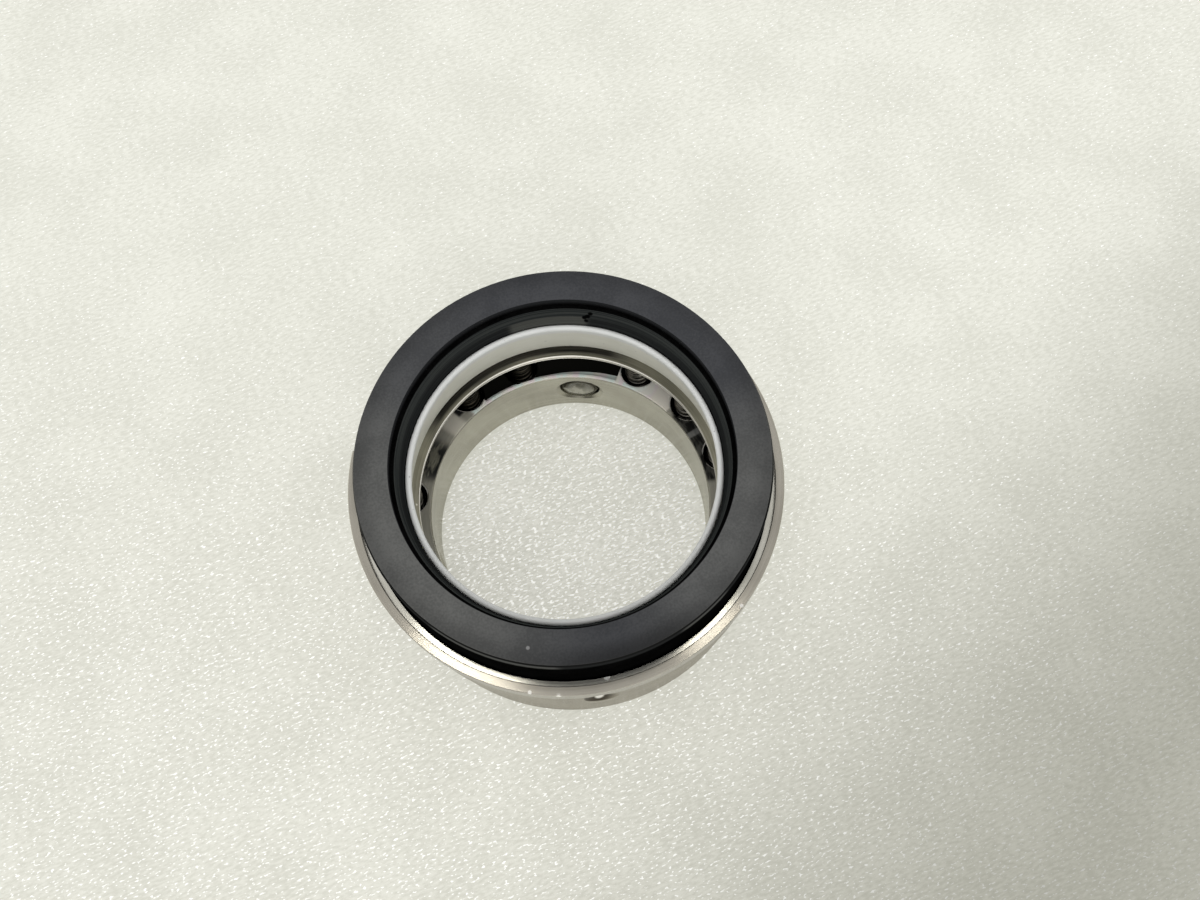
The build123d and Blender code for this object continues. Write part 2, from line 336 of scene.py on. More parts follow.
def ledge_colour(paint, lathe, plain):
    """Painted light and shade on the ledge: a rainbow, a white highlight, a beige highlight, a pocket
    shadow, a shaded arc and a dark reflection.
    """
    place = paint.vector(lathe.east * 9.0, lathe.north * 9.0, lathe.radius * 1500.0)
    dark_mottle = paint.noise(place, 1.0, 3.0).rise(0.42, 0.6)
    reflected_dark = paint.blend(dark_mottle, (0.03, 0.032, 0.03), paint.tint(1.0, plain, (0.6, 0.6, 0.56)))
    shaded = paint.blend(dark_mottle, (0.022, 0.022, 0.02), (0.11, 0.108, 0.095))
    pocket_shadow = lathe.band(*POCKET_SHADOW) * lathe.radius.rise(21.3 * MM, 21.8 * MM)
    colour = paint.blend(lathe.band(*DARK_REFLECTION, 5), plain, reflected_dark)
    colour = paint.blend(lathe.band(*BEIGE_HIGHLIGHT, 3), colour, (0.80, 0.765, 0.66))
    colour = paint.blend(pocket_shadow, colour, (0.03, 0.03, 0.03))
    colour = paint.blend(lathe.band(*SHADED, 2), colour, shaded)
    colour = paint.blend(lathe.band(*PALE_STREAK) * 0.25, colour, (0.9, 0.9, 0.85))
    colour = paint.blend(lathe.band(*WHITE_HIGHLIGHT), colour, (1.0, 0.95, 0.85))
    return paint.blend(lathe.band(*RAINBOW), colour, rainbow(paint, lathe))


def ledge_scatter(lathe):
    """Where the ledge scatters light, instead of mirroring the dark ring above it."""
    return either(lathe.band(WHITE_HIGHLIGHT[0], RAINBOW[1]), lathe.band(131.5, 137, 1.5) * 0.6)


print("ledge colours from azimuth", SHADED[0], "to", DARK_REFLECTION[1])

# %% [markdown]
# The looks of the other surfaces need masks, made from the radius and the height. One is the ledge with the
# inner part of the relief, which catches light as well. One is the hollows with the wall behind the springs,
# where shade is painted, and one is the thin chamfers round the pockets, painted bright as highlights.

# %% Places on the retainer
RIM_BOTTOM = 20.0 * MM
RELIEF_FLOOR = 9.2 * MM
RELIEF_LIT_RADIUS = 21.14 * MM
POCKETS_SHADED_FROM = 6.5 * MM


def ledge_masks(lathe):
    """The ledge with the lit part of the relief, and that part alone, which is wider on the right."""
    level = lathe.height.between(LEDGE_HEIGHT - 0.22 * MM, LEDGE_HEIGHT + 0.1 * MM, 0.02 * MM)
    level = level * lathe.radius.between(retainer_bore + 0.15 * MM, WALL_RADIUS, 0.1 * MM)
    grown = lathe.radius - (lathe.east + abs(lathe.east)) * 0.525 * MM
    near = grown.rise(RELIEF_LIT_RADIUS + 0.1 * MM, RELIEF_LIT_RADIUS)
    near = near * lathe.band(50, 136) * lathe.radius.rise(retainer_bore + 0.3 * MM, retainer_bore + 0.4 * MM)
    near = near * lathe.height.between(RELIEF_FLOOR - 0.2 * MM, LEDGE_HEIGHT, 0.05 * MM)
    return either(level, near), near


def shade_masks(lathe, near):
    """All the hollows painted dark as shade, and the wall behind the springs alone."""
    inside = lathe.radius.between(retainer_bore + 0.3 * MM, BODY_RADIUS - 0.4 * MM, 0.1 * MM)
    low = inside * lathe.height.between(POCKETS_SHADED_FROM, LEDGE_HEIGHT - 0.26 * MM, 0.04 * MM)
    wall = lathe.height.between(LEDGE_HEIGHT + 0.05 * MM, 17.0 * MM, 0.05 * MM)
    wall = wall * lathe.radius.between(WALL_RADIUS - 0.15 * MM, WALL_RADIUS + 0.15 * MM, 0.05 * MM)
    return either(low, wall) * (1 - near), wall


def pocket_edge_highlights(lathe):
    """The chamfers round the pockets, which are painted bright as highlights."""
    edge_highlights = lathe.height.between(LEDGE_HEIGHT - 0.17 * MM, LEDGE_HEIGHT - 0.03 * MM, 0.02 * MM)
    return edge_highlights * lathe.radius.between(20.8 * MM, WALL_RADIUS, 0.1 * MM)


print("relief lit out to radius", round(RELIEF_LIT_RADIUS / MM, 2), "mm")

# %% [markdown]
# The finish lays these looks over the turned steel one by one, each through its mask, so that it stays on
# its own surface. A dent pressed into the shell at the front is painted dark as shade, and a few nicks on
# the rim are painted bright where they catch the light, beside two painted glints, one in the dent and one
# on the bore's edge. The ledge scatters light rather than mirroring it, which is done with less metal.


# %% Steel of the retainer
OUTSIDE_TINT = (0.93, 0.90, 0.90)
SIDE_SHADE = (0.83, 0.82, 0.82)
DENT_TINT = (0.2, 0.18, 0.16)
DENT_SHADE = (268.4, 28.0, 13.6, 3.0)
NICKS_AND_GLINTS = (
    (259.5, 29.1, 22.4, 0.55),
    (252.3, 29.0, 22.6, 0.4),
    (312.5, 28.94, 22.8, 0.3),
    (269.4, 28.1, 13.2, 0.8),
    (84.6, 20.4, 10.1, 0.3),
)


def retainer_finish():
    paint = Paint("turned_steel")
    lathe = Lathe(paint)
    colour, fine = turned_colour(paint, lathe)
    rim = lathe.height.rise(RIM_BOTTOM, RIM_BOTTOM + 0.2 * MM)
    outside = lathe.radius.rise(26.6 * MM, 26.7 * MM)
    colour = paint.tint(outside, colour, OUTSIDE_TINT)
    # Painted shade: the outer wall below the rim is darker than its top.
    colour = paint.tint(outside * lathe.height.rise(22.6 * MM, 22.4 * MM), colour, SIDE_SHADE)
    ledge, near = ledge_masks(lathe)
    colour = paint.blend(ledge, colour, ledge_colour(paint, lathe, colour))
    shade, wall = shade_masks(lathe, near)
    # Painted shade: the hollows and the wall behind the springs turn near-black.
    colour = paint.blend(shade, colour, BLACK)
    # A faint painted highlight runs up the wall behind the springs.
    wall_highlight = wall * lathe.band(85.2, 86.8, 0.8) * 0.15
    colour = paint.blend(wall_highlight, colour, (0.9, 0.88, 0.8))
    # Painted highlights: the pocket chamfers turn near-white.
    edge_highlights = pocket_edge_highlights(lathe)
    colour = paint.blend(edge_highlights, colour, (1.0, 0.97, 0.9))
    # Painted shade in the dent at the front.
    dent = lathe.spot(*DENT_SHADE) * lathe.radius.rise(SHELL_RADIUS - 0.01 * MM, SHELL_RADIUS - 0.07 * MM)
    colour = paint.tint(dent, colour, DENT_TINT)
    # Painted highlights: nicks on the rim, a glint in the dent and one on the bore's edge.
    nicks_and_glints = lathe.spots(NICKS_AND_GLINTS)
    colour = paint.blend(nicks_and_glints, colour, GLINT)
    roughness = 0.25 + (fine - 0.5) * 0.1 - rim * 0.1 + ledge * 0.3 + shade * 0.4 + nicks_and_glints * 0.2
    scatter = either(ledge * ledge_scatter(lathe), edge_highlights, rim * 0.5)
    return steel_finish(paint, colour, roughness, fine, 1 - scatter * 0.7)


retainer_steel = retainer_finish()
print("retainer:", retainer_steel.name)

# %% [markdown]
# The snap ring is turned as well, and brighter than the rest. It has a few nicks, painted bright as glints
# where they catch the light.

# %% Steel of the snap ring
SNAP_NICKS_AND_GLINTS = ((272.2, 27.25, 21.9, 0.5), (198.8, 28.1, 21.9, 0.25), (194.8, 28.2, 21.9, 0.25))


def snap_finish():
    paint = Paint("snap_steel")
    lathe = Lathe(paint)
    colour, fine = turned_colour(paint, lathe, (0.76, 0.74, 0.66), (0.60, 0.585, 0.51))
    # Painted glints on the nicks.
    nicks_and_glints = lathe.spots(SNAP_NICKS_AND_GLINTS)
    colour = paint.blend(nicks_and_glints, colour, (0.98, 0.97, 0.93))
    return steel_finish(paint, colour, 0.16 + (fine - 0.5) * 0.06 + nicks_and_glints * 0.3, fine)


snap_steel = snap_finish()
print("snap ring:", snap_steel.name)

# %% [markdown]
# The thrust disc is dull, except for two thin lines along its lower edges, painted bright as highlights, the
# upper of which is brightest round the back. There the disc is painted dark as shade up to the wedge ring.
# The bevels under the lines are made in the bump, since they are too small to show in outline.


# %% Steel of the disc
DISC_SPECK = (176.0, 21.0, 16.9, 0.22)


def disc_finish():
    paint = Paint("disc_steel")
    lathe = Lathe(paint)
    colour, fine = turned_colour(paint, lathe, (0.42, 0.40, 0.33), (0.20, 0.195, 0.16))
    above = lathe.height - disc_foot
    # Painted highlights: two thin bright lines along the lower edges.
    upper_highlight = above.between(0.9 * MM, 1.25 * MM, 0.12 * MM) * (lathe.band(42, 185, 12) * 0.7 + 0.3)
    lower_highlight = above.between(0.3 * MM, 0.6 * MM, 0.12 * MM) * 0.5
    edge = upper_highlight + lower_highlight
    colour = paint.blend(edge, colour, (1.0, 0.97, 0.88))
    # Painted shade over the upper part of the disc at the back.
    disc_shade = above.rise(1.5 * MM, 2.2 * MM) * lathe.facing(102, 52).rise(0.0, 0.5)
    disc_shade_colour = paint.blend(fine.rise(0.4, 0.6), BLACK, (0.065, 0.06, 0.048))
    colour = paint.blend(disc_shade, colour, disc_shade_colour)
    colour = paint.blend(lathe.spot(*DISC_SPECK), colour, GLINT)
    bevels = above.rise(1.4 * MM, 0.8 * MM) * 1.2 + above.rise(0.7 * MM, 0.2 * MM) * 0.5
    surface = paint.shader(
        Base_Color=colour,
        Metallic=1.0,
        Roughness=0.3 + edge * 0.1 + disc_shade * 0.3,
        Anisotropic=0.6,
        Anisotropic_Rotation=QUARTER_TURN,
        Normal=paint.bump(bevels + fine * 0.002, 1.0 * MM),
    )
    return paint.finish(surface)


disc_steel = disc_finish()
print("disc:", disc_steel.name)

# %% [markdown]
# Drawn spring wire and the small set screws aren't turned, so they get a plain steel without the stretched
# highlight. The wire is dulled by its drawing soap, and the springs in the relief are painted dark as shade
# towards their tops. The upper half of each screw's cup lies in the hole's own shade, which is painted dark,
# as is a spot at each screw's point.


# %% Wire and screw steel
SHADE_TINT = (0.2, 0.19, 0.165)
SCREW_POINTS = tuple((azimuth, 21.2, 5.3, 1.2) for azimuth in (77.5, 197.5, 317.5))


def plain_steel(name, light, dark, roughness, shade):
    paint = Paint(name)
    lathe = Lathe(paint)
    cloud = paint.noise(lathe.place, 900.0, 3.0)
    grain = paint.noise(lathe.place, 6000.0)
    colour = paint.blend(cloud.rise(0.35, 0.65), dark, light)
    surface = paint.shader(
        Base_Color=paint.tint(shade(lathe), colour, SHADE_TINT),
        Metallic=1.0,
        Roughness=(cloud - 0.5) * 0.2 + roughness,
        Normal=paint.bump(grain, MARK_DEPTH),
    )
    return paint.finish(surface)


# Painted shade on the springs in the relief, deeper towards their tops.
def shaded_spring(lathe):
    return lathe.facing(110, 40).rise(0.0, 0.4) * lathe.height.rise(6.5 * MM, 9.5 * MM)


# Painted shade on the upper half of each screw and at its point.
def shaded_screw(lathe):
    return either(lathe.height.rise(4.0 * MM, 6.4 * MM) * 0.85, lathe.spots(SCREW_POINTS) * 0.6)


wire_steel = plain_steel("spring_wire", (0.16, 0.15, 0.13), (0.06, 0.057, 0.05), 0.3, shaded_spring)
screw_steel = plain_steel("set_screw_steel", (0.46, 0.45, 0.40), (0.3, 0.295, 0.26), 0.26, shaded_screw)
print("plain steels:", wire_steel.name, screw_steel.name)

# %% [markdown]
# Carbon graphite is pressed from powder: dark grey, with a grain like fine slate. Lapping leaves the sealing
# face a little paler than the rest. Two sweeps on it are painted paler as sheen, and shade is painted on it
# towards its outer edge and at the front. The bevel beside it is painted pale with highlights in two arcs,
# and the turned walls are painted near-black as shade.


# %% Colours of the carbon
NOSE_RADIUS = 27.0 * MM
BEVEL_LOW = face_height - 0.8 * MM
FACE_INNER_RADIUS = 22.35 * MM
HALF = (0.5, 0.5, 0.5)
PALE_SPECK = (251.7, 24.9, 30.5, 0.3)
SMEARS = (
    (71.3, 21.65, 28.2, 0.45),
    (72.3, 21.5, 27.6, 0.5),
    (73.5, 21.45, 27.3, 0.45),
    (72.8, 21.3, 26.7, 0.4),
)


def lapped_colour(paint, lathe, tone):
    """Colour of the face: paler sweeps of painted sheen, painted shade towards the outer edge and at the
    front, and one pale speck.
    """
    # Painted sheen: paler sweeps on the face.
    painted_sheen = lathe.facing(206, 68) + lathe.facing(-31, 52) * 0.8 + lathe.facing(140, 35) * 0.2
    dark = paint.blend(painted_sheen, (0.039, 0.041, 0.046), (0.088, 0.089, 0.086))
    light = paint.blend(painted_sheen, (0.059, 0.061, 0.067), (0.128, 0.129, 0.124))
    colour = paint.blend(tone, dark, light)
    # Painted shade towards the outer edge, deeper at the front, and over the whole front.
    edge_shade = lathe.radius.rise(NOSE_RADIUS - 3.2 * MM, NOSE_RADIUS - 0.4 * MM)
    colour = paint.tint(edge_shade, colour, (0.7, 0.7, 0.7))
    colour = paint.tint(edge_shade * lathe.facing(281, 26), colour, HALF)
    colour = paint.tint(lathe.facing(268, 34) * 0.4, colour, HALF)
    return paint.blend(lathe.spot(*PALE_SPECK), colour, (0.22, 0.22, 0.22))


def bevel_colour(paint, lathe):
    """Colour under the face's outer edge: a fine dark line, and a band painted pale with highlights in two
    arcs.
    """
    # Painted highlights in two arcs of the bevel.
    painted_light = lathe.band(295, 309, 3) + lathe.band(225, 260, 3)
    pale = paint.blend(painted_light, (0.020, 0.021, 0.021), (0.085, 0.086, 0.081))
    line = lathe.height.rise(face_height - 0.45 * MM, face_height - 0.62 * MM)
    return paint.blend(line, (0.012, 0.012, 0.012), pale)


def turned_carbon_colour(paint, lathe, tone):
    """Colour of the walls: black as painted shade, but grey on the edge of the bore and on the taper below
    it, with painted light on the taper at the back.
    """
    # Painted shade: the turned walls are near-black.
    wall = paint.blend(tone, (0.001, 0.001, 0.001), (0.004, 0.004, 0.004))
    edge = lathe.radius.rise(FACE_INNER_RADIUS + 0.1 * MM, FACE_INNER_RADIUS + 0.05 * MM)
    edge = edge * lathe.height.rise(face_height - 1.4 * MM, face_height - 0.2 * MM)
    wall = paint.blend(edge, wall, (0.026, 0.027, 0.029))
    taper = lathe.radius.rise(FACE_INNER_RADIUS - 0.46 * MM, FACE_INNER_RADIUS - 0.53 * MM)
    lines = lathe.marks(0.35 * MM, 0.8).rise(0.4, 0.6)
    upper = lathe.height.rise(27.0 * MM, 27.8 * MM)
    grey = paint.blend(lines, (0.014, 0.015, 0.015), (0.024, 0.026, 0.026))
    crest = paint.blend(lines, (0.024, 0.027, 0.027), (0.050, 0.054, 0.052))
    # Painted light: a paler patch on the taper at the back.
    painted_light = lathe.band(73, 101, 3) * lathe.height.rise(27.5 * MM, 27.3 * MM)
    patch = paint.blend(lines, (0.066, 0.068, 0.062), (0.088, 0.090, 0.082))
    grey = paint.blend(painted_light, paint.blend(upper, grey, crest), patch)
    grey = paint.blend(lathe.spots(SMEARS), grey, (0.002, 0.002, 0.002))
    return paint.blend(taper, wall, grey)


print("carbon colours ready, sealing face from radius", round(FACE_INNER_RADIUS / MM, 2), "mm")

# %% [markdown]
# The dull walls and the faintly shining face are two shaders, because a share of sheen can't be had from
# colour alone. One mask mixes them. It is full on the face and nothing inside the bore, and the nose has a
# share of the sheen everywhere but at the front, so that its painted black shade stays whole at the front
# alone.


# %% Carbon
def carbon_finish():
    paint = Paint("carbon_graphite")
    lathe = Lathe(paint)
    grain = paint.noise(lathe.place, 3500.0, 3.0)
    cloud = paint.noise(lathe.place, 220.0, 3.0)
    tone = (grain * 0.5 + cloud * 0.5).rise(0.35, 0.65)
    normal = paint.bump(grain, 0.004 * MM)
    outside = lathe.radius.rise(NOSE_RADIUS - 0.35 * MM, NOSE_RADIUS - 0.3 * MM)
    top = lathe.height.rise(face_height - 0.14 * MM, face_height - 0.08 * MM)
    step = lathe.radius.rise(FACE_INNER_RADIUS + 0.02 * MM, FACE_INNER_RADIUS + 0.04 * MM)
    bevel = outside * lathe.height.rise(BEVEL_LOW - 0.9 * MM, BEVEL_LOW + 0.1 * MM)
    turned = turned_carbon_colour(paint, lathe, tone)
    dull = paint.shader(
        Base_Color=paint.blend(bevel, turned, bevel_colour(paint, lathe)),
        Roughness=0.8,
        Specular_IOR_Level=0.0,
        Normal=normal,
    )
    sheen = paint.shader(
        Base_Color=lapped_colour(paint, lathe, tone),
        Roughness=0.5 + (cloud - 0.5) * 0.2,
        Specular_IOR_Level=0.2,
        Normal=normal,
    )
    # Away from the front the nose's painted black shade gives way to a share of sheen.
    nose_sheen = outside * (1 - lathe.facing(270, 95).rise(0.0, 0.35)) * 0.4
    return paint.finish(paint.mix(either(top * step, nose_sheen), dull, sheen))


carbon = carbon_finish()
print("carbon:", carbon.name)

# %% [markdown]
# The wedge ring is a milky white fluoropolymer. Light enters it a little before it comes back, so it gets a
# small share of subsurface scattering. Its turned wall keeps very soft lines and is painted beige, a painted
# reflection of the steel around it, the front is painted a little greyer as shade, and a few dark specks are
# dust.


# %% White polymer
def polymer_finish():
    paint = Paint("white_fluoropolymer")
    lathe = Lathe(paint)
    fine = lathe.marks(0.3 * MM, 2.0)
    cloud = paint.noise(lathe.place, 200.0, 3.0)
    tone = (fine * 0.4 + cloud * 0.6).rise(0.35, 0.65)
    wall = lathe.height.rise(wedge_top - 0.8 * MM, wedge_top - 2.0 * MM)
    white = paint.blend(tone, (0.80, 0.815, 0.80), (0.86, 0.87, 0.855))
    # Painted reflection: the wall is painted beige, the steel around it mirrored.
    wall_reflection = paint.blend(tone, (0.78, 0.775, 0.69), (0.86, 0.855, 0.77))
    # Painted shade: the front is greyer.
    white = paint.tint(lathe.facing(270, 90), white, (0.85, 0.85, 0.84))
    speck = paint.noise(lathe.place, 1500.0, 1.0).rise(0.74, 0.8) * 0.5
    colour = paint.blend(speck, paint.blend(wall, white, wall_reflection), (0.30, 0.30, 0.27))
    surface = paint.shader(
        Base_Color=colour,
        Roughness=0.38,
        Subsurface_Weight=0.15,
        Subsurface_Radius=(1.0, 1.0, 1.0),
        Subsurface_Scale=0.8 * MM,
        Normal=paint.bump(fine, 0.003 * MM),
    )
    return paint.finish(surface)


white_polymer = polymer_finish()
print("polymer:", white_polymer.name)

# %% [markdown]
# The turned solids are already right in shape, down to their small chamfers, so they stay and only
# take a finish. The loop gives each of them one material in place of the plain one it came with.


# %% Dress the turned solids
def dress(node, material):
    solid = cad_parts[node]
    solid.data.materials.clear()
    solid.data.materials.append(material)


for node, material in (
    ("retainer", retainer_steel),
    ("primary_ring", carbon),
    ("wedge_ring", white_polymer),
    ("thrust_disc", disc_steel),
    ("snap_ring", snap_steel),
):
    dress(node, material)
    print("dressed", node, "in", material.name)

# %% [markdown]
# A spring could be a curve with a round bevel, but it has to shorten when the ring above it is pushed
# down, and only a mesh can do that here. The mesh is a grid: one row of points round the wire for
# each step along the coil. The first and last turns lie close, as on a real spring, and pressing all
# points to the two end planes grinds the ends flat.

# %% Measure the springs
SPRING_DIAMETER = 4.0 * MM
WIRE = 0.75 * MM
TURNS = 9
spring_names = sorted(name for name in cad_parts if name.startswith("spring_"))
spring_low, spring_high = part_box(spring_names[0])
spring_length = spring_high.z - spring_low.z
coil_radius = SPRING_DIAMETER / 2 - WIRE / 2
print(len(spring_names), "springs", round(spring_length / MM, 2), "mm long")

# %% [markdown]
# The wire's centre climbs slowly over the two end turns and faster between them. Each spring starts
# its coil on the outer side, so that no two look the same from one place.


# %% Wind the springs
STEPS_PER_TURN = 32
WIRE_POINTS = 14


def coil_height(turn):
    """Height of the wire's centre after so many turns: closed end turns, open ones between."""
    closed = WIRE * 0.97
    open_rise = (spring_length - WIRE - 2 * closed) / (TURNS - 2)
    first, last = min(turn, 1), max(turn - (TURNS - 1), 0)
    open_turns = min(max(turn - 1, 0), TURNS - 2)
    return WIRE / 2 + closed * first + open_rise * open_turns + closed * last


def grid_mesh(name, rows, material, closed_ends=True):
    """A tube-like mesh from rows of points, each row a closed loop."""
    count = len(rows[0])
    points = [point for row in rows for point in row]
    faces = []
    for row in range(len(rows) - 1):
        for column in range(count):
            beside = (column + 1) % count
            start = row * count
            faces.append((start + column, start + beside, start + count + beside, start + count + column))
    if closed_ends:
        faces.append(tuple(reversed(range(count))))
        faces.append(tuple(range(len(points) - count, len(points))))
    mesh = bpy.data.meshes.new(name)
    mesh.from_pydata(points, [], faces)
    mesh.materials.append(material)
    mesh.shade_smooth()
    piece = bpy.data.objects.new(name, mesh)
    bpy.context.scene.collection.objects.link(piece)
    return piece


def wind(name, centre, start_azimuth):
    rows = []
    for step in range(TURNS * STEPS_PER_TURN + 1):
        turn = step / STEPS_PER_TURN
        angle = start_azimuth + 2 * math.pi * turn
        outward = Vector((math.cos(angle), math.sin(angle), 0))
        row = []
        for point in range(WIRE_POINTS):
            around = 2 * math.pi * point / WIRE_POINTS
            place = outward * (coil_radius + WIRE / 2 * math.cos(around))
            height = coil_height(turn) - WIRE / 2 * math.sin(around)
            place.z = min(max(height, 0), spring_length)
            row.append(centre + place)
        rows.append(row)
    return grid_mesh(name, rows, wire_steel)


for name in spring_names:
    low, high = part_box(name)
    foot = Vector(((low.x + high.x) / 2, (low.y + high.y) / 2, low.z))
    azimuth = math.atan2(foot.y, foot.x)
    coil = wind("coil_" + name[-2:], foot, azimuth)
    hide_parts(name)
    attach(coil, "retainer")
    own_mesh(coil)
print("wound", len(spring_names), "springs")

# %% [markdown]
# A cup-point set screw is a threaded stud with a hexagon socket in one end and a hollow cone in the
# other. It is drawn here like a turned piece, ring by ring, but the rings of the thread are tilted to
# follow the helix, and those of the socket are six-sided.

# %% Cut a set screw
PITCH = 1.0 * MM
THREAD_DEPTH = 0.5 * MM
SCREW_RADIUS = 3.0 * MM
SCREW_LENGTH = 6.0 * MM
SCREW_COLUMNS = 96
RIDGE_STEPS = 8
CUP_RADIUS = 1.75 * MM
CUP_DEPTH = 1.0 * MM
POINT_CHAMFER = 0.45 * MM
HEX_RADIUS = 1.5 * MM
HEX_DEPTH = 2.8 * MM
HEX_CHAMFER = 0.12 * MM
DRILL_POINT = 0.4 * MM
AXIS_RADIUS = 0.02 * MM


def ridge(phase):
    """Share of the thread's depth at a phase of its pitch: flat crest, sloped flanks, flat root."""
    return min(max(abs((phase % 1) - 0.5) * 2.6 - 0.5, 0), 1)


def screw_rings():
    """(radius, depth) along the screw from point to socket, as functions of the angle's share."""
    rings = [(lambda share: AXIS_RADIUS, lambda share: CUP_DEPTH)]
    rings.append((lambda share: CUP_RADIUS, lambda share: 0.0))

    def end_radius(depth):
        from_end = min(depth, SCREW_LENGTH - depth)
        return SCREW_RADIUS - max(POINT_CHAMFER - from_end, 0)

    count = int((SCREW_LENGTH + PITCH) / PITCH * RIDGE_STEPS) + 1
    for step in range(count):

        def depth(share, step=step):
            return min(max((step / RIDGE_STEPS - 1 + share) * PITCH, 0), SCREW_LENGTH)

        def radius(share, step=step):
            here = depth(share, step)
            thread = SCREW_RADIUS - THREAD_DEPTH * ridge(step / RIDGE_STEPS)
            return min(thread, end_radius(here))

        rings.append((radius, depth))

    def hexagon(share):
        turn = share * 6 % 1
        return HEX_RADIUS / math.cos((turn - 0.5) * math.pi / 3)

    rings.append((lambda share: hexagon(share) + HEX_CHAMFER, lambda share: SCREW_LENGTH))
    rings.append((hexagon, lambda share: SCREW_LENGTH - HEX_CHAMFER))
    rings.append((hexagon, lambda share: SCREW_LENGTH - HEX_DEPTH))
    rings.append((lambda share: AXIS_RADIUS, lambda share: SCREW_LENGTH - HEX_DEPTH - DRILL_POINT))
    return rings


def turn_rings(node, rings):
    """Rows of points for rings about a screw's own axis, depths counted outwards from its point."""
    low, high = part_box(node)
    middle = (low + high) / 2
    outward = Vector((middle.x, middle.y, 0)).normalized()
    sideways = Vector((-outward.y, outward.x, 0))
    point = middle - outward * SCREW_LENGTH / 2
    rows = []
    for radius, depth in rings:
        row = []
        for column in range(SCREW_COLUMNS):
            share = column / SCREW_COLUMNS
            angle = 2 * math.pi * share
            across = sideways * math.cos(angle) + Vector((0, 0, math.sin(angle)))
            row.append(point + outward * depth(share) + across * radius(share))
        rows.append(row)
    return rows


for number in (1, 2, 3):
    node = f"set_screw_{number}"
    rows = turn_rings(node, screw_rings())
    screw = grid_mesh(f"cup_point_screw_{number}", rows, screw_steel)
    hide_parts(node)
    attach(screw, "retainer")
print("cut 3 set screws")

# %% [markdown]
# Outside the screws, the holes show a last turn of their own thread. It is a thin lining whose inner
# side follows the same helix with the ridge turned inwards, and whose back lies inside the wall.

# %% Thread of the screw holes
HOLE_RADIUS = 3.05 * MM
HOLE_THREAD_DEPTH = THREAD_DEPTH * 0.9
LINING_BACK = 0.05 * MM
LINING_START = SCREW_LENGTH + 0.05 * MM
LINING_END = SCREW_LENGTH + 0.95 * MM


def lining_rings():
    """(radius, depth) of the lining: its thread from the mouth inwards, then round its back."""
    rings = []
    count = int((LINING_END - LINING_START + PITCH) / PITCH * RIDGE_STEPS) + 1
    for step in range(count):

        def depth(share, step=step):
            along = LINING_START + (step / RIDGE_STEPS - 1 + share) * PITCH
            return min(max(along, LINING_START), LINING_END)

        def radius(share, step=step):
            return HOLE_RADIUS - HOLE_THREAD_DEPTH * (1 - ridge(step / RIDGE_STEPS))

        rings.insert(0, (radius, depth))
    rings.append((lambda share: HOLE_RADIUS + LINING_BACK, lambda share: LINING_START))
    rings.append((lambda share: HOLE_RADIUS + LINING_BACK, lambda share: LINING_END))
    rings.append(rings[0])
    return rings


for number in (1, 2, 3):
    rows = turn_rings(f"set_screw_{number}", lining_rings())
    lining = grid_mesh(f"hole_thread_{number}", rows, retainer_steel, closed_ends=False)
    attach(lining, "retainer")
print("threaded 3 screw holes")

# %% [markdown]
# The seal stands on a plain pale bench under a pale ceiling. The bench is one large plane with a frosted
# surface: a fine mottle drawn out in one direction, and tiny bright flecks painted as glints where the
# frosting catches the light, which glow above white in the floor's own light. It is painted lighter inside
# the bore, against the ring's shadow, and painted a little darker at the front as shade, and a mild painted
# shadow lies at the front right and fades out. Half of what an eye or a mirror sees of it is its own colour
# and half is the light that falls on it, so the shadow stays but is soft, as in a bright room.


# %% Floor
GRAIN = (0.97, 0.24)
FLOOR_LIGHT, FLOOR_DARK = (0.94, 0.94, 0.85), (0.80, 0.80, 0.712)
LIT_BORE_LIGHT, LIT_BORE_DARK = (1.0, 1.0, 0.92), (0.83, 0.83, 0.745)
FLECK = (1.0, 1.0, 0.97)
FLECK_GLOW = (1.5, 1.5, 1.42)
OWN_LIGHT = 0.5


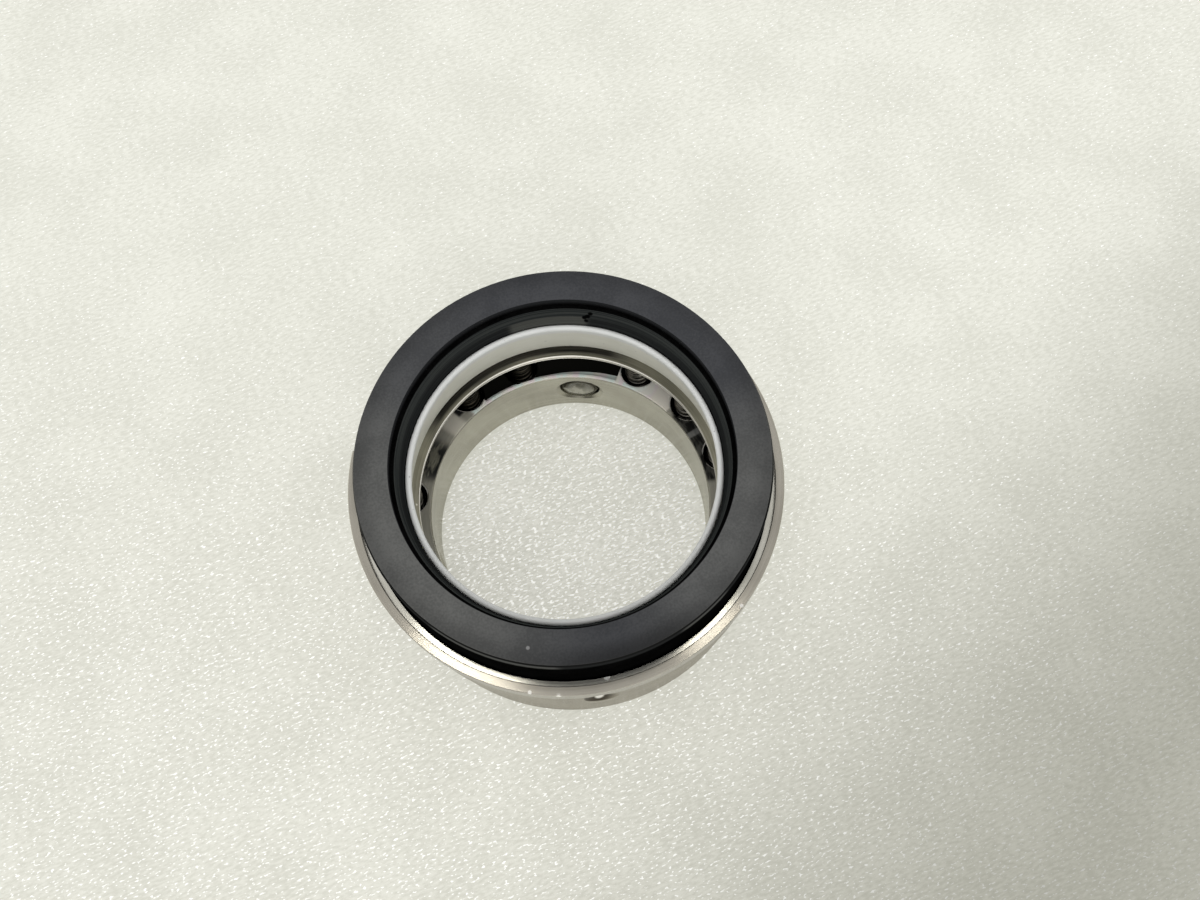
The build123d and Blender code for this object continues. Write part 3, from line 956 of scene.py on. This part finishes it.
def floor_finish():
    paint = Paint("pale_bench")
    place = paint.node("TexCoord", output="Object")
    split = paint.node("SeparateXYZ", {}, {"Vector": place}).output.node
    x, y, height = (Socket(paint, out) for out in split.outputs)
    along = x * GRAIN[0] + y * GRAIN[1]
    across = y * GRAIN[0] - x * GRAIN[1]
    fleck = paint.noise(paint.vector(along * 1500.0, across * 3300.0, height), 1.0, 1.0)
    groove = paint.noise(paint.vector(along * 900.0, across * 2600.0, height + 7.0), 1.0, 3.0)
    cloud = paint.noise(place, 70.0, 3.0)
    mottle = (groove * 0.7 + cloud * 0.3).rise(0.36, 0.64)
    away = (x * x + y * y).root()
    lit_bore = away.rise(21.0 * MM, 18.0 * MM)
    front = (x * -0.3 - y).rise(-50.0 * MM, 30.0 * MM)
    patch = (x * 0.6 - y * 0.8).rise(15.0 * MM, 85.0 * MM) * away.rise(260.0 * MM, 120.0 * MM)
    colour = paint.blend(mottle, FLOOR_DARK, FLOOR_LIGHT)
    # Painted light: the bench is lighter inside the bore, against the ring's shadow.
    colour = paint.blend(lit_bore, colour, paint.blend(mottle, LIT_BORE_DARK, LIT_BORE_LIGHT))
    # Painted shade: the bench is darker towards the front.
    colour = paint.tint(front, colour, (0.94, 0.935, 0.93))
    bright = (fleck + front * 0.05 + lit_bore * 0.05).rise(0.67, 0.74)
    colour = paint.blend(bright, colour, FLECK)
    # Painted shadow: a darker patch at the front right that fades out.
    colour = paint.tint(patch, colour, (0.55, 0.55, 0.53))
    # Painted glints: the flecks glow above white in the floor's own light.
    glow = paint.blend(bright * (1 - patch), colour, FLECK_GLOW)
    lit = paint.shader(Base_Color=colour, Roughness=0.7, Normal=paint.bump(fleck, 0.06 * MM))
    own = paint.node("Emission", {}, {"Color": glow, "Strength": 1.0})
    rays = paint.node("LightPath").output.node.outputs
    seen = Socket(paint, rays["Is Camera Ray"]) + Socket(paint, rays["Is Glossy Ray"])
    seen = seen + Socket(paint, rays["Is Transmission Ray"])
    return paint.finish(paint.mix(seen * OWN_LIGHT, lit, own))


bpy.ops.mesh.primitive_plane_add(size=3.0, location=(0, 0, 0))
floor = bpy.context.object
floor.name = "bench"
floor.data.materials.append(floor_finish())
print("floor:", floor.name)

# %% [markdown]
# The pale ceiling and walls are the world: one even white, bright enough to be mirrored by the steel,
# and dim enough to leave the lamps something to do.

# %% World
world = bpy.data.worlds.new("pale_room")
bpy.context.scene.world = world
world.use_nodes = True
background = world.node_tree.nodes["Background"]
background.inputs["Color"].default_value = (1.0, 1.0, 1.0, 1)
background.inputs["Strength"].default_value = 0.75
print("world:", world.name)

# %% [markdown]
# Two narrow strip lamps hang high behind the seal: turned steel mirrors them towards the front as
# bright arcs with sharp ends. A large soft lamp far in front lights the inside of the rings.


# %% Lamps
def lamp(name, start, end, width, power, colour):
    """A lamp between two points, so wide across them, which faces the seal; metres and watts."""
    data = bpy.data.lights.new(name, "AREA")
    data.shape = "RECTANGLE"
    start, end = Vector(start), Vector(end)
    place = (start + end) / 2
    data.size = (end - start).length
    data.size_y = width
    data.energy = power
    data.color = colour
    made = bpy.data.objects.new(name, data)
    bpy.context.scene.collection.objects.link(made)
    away = place.normalized()
    along = (end - start) - away * (end - start).dot(away)
    along.normalize()
    turn = Matrix((along, away.cross(along), away)).transposed()
    made.matrix_world = Matrix.Translation(place) @ turn.to_4x4()
    print("lamp", name, "at", [round(v, 3) for v in place])


WARM = (1.0, 0.97, 0.90)
PALE = (1.0, 1.0, 0.97)
STRIP_WIDTH = 0.04
lamp("right_lamp", (0.130, 0.063, 1.0), (0.168, 0.145, 1.0), STRIP_WIDTH, 0.2, WARM)
lamp("left_lamp", (-0.119, 0.040, 1.0), (-0.161, 0.208, 1.0), STRIP_WIDTH, 0.36, WARM)
lamp("front_lamp", (-0.5, -0.9, 0.9), (0.5, -0.9, 0.9), 1.0, 3.0, PALE)

# %% [markdown]
# The camera stands a hand's breadth in front of the seal and looks steeply down, slightly tilted.
# Its place and the point that it aims at are all it takes; the tilt is a turn about the line of sight.

# %% Camera
CAMERA_PLACE = Vector((0.0, -52.0 * MM, 169.35 * MM))
AIM = Vector((4.91 * MM, -0.08 * MM, face_height))
TILT = math.radians(4.335)
LENS = 34.83
camera_data = bpy.data.cameras.new("camera")
camera_data.lens = LENS
camera_data.sensor_width = 36.0
camera_data.clip_start = 0.01
camera_data.clip_end = 10.0
camera = bpy.data.objects.new("camera", camera_data)
bpy.context.scene.collection.objects.link(camera)
sight = (AIM - CAMERA_PLACE).normalized()
level = sight.cross(Vector((0, 0, 1))).normalized()
over = level.cross(sight)
right = level * math.cos(TILT) - over * math.sin(TILT)
up = over * math.cos(TILT) + level * math.sin(TILT)
turn = Matrix((right, up, -sight)).transposed()
camera.matrix_world = Matrix.Translation(CAMERA_PLACE) @ turn.to_4x4()
bpy.context.scene.camera = camera
bpy.context.scene.view_settings.view_transform = "Standard"
print("camera right", [round(v, 4) for v in right], "up", [round(v, 4) for v in up])
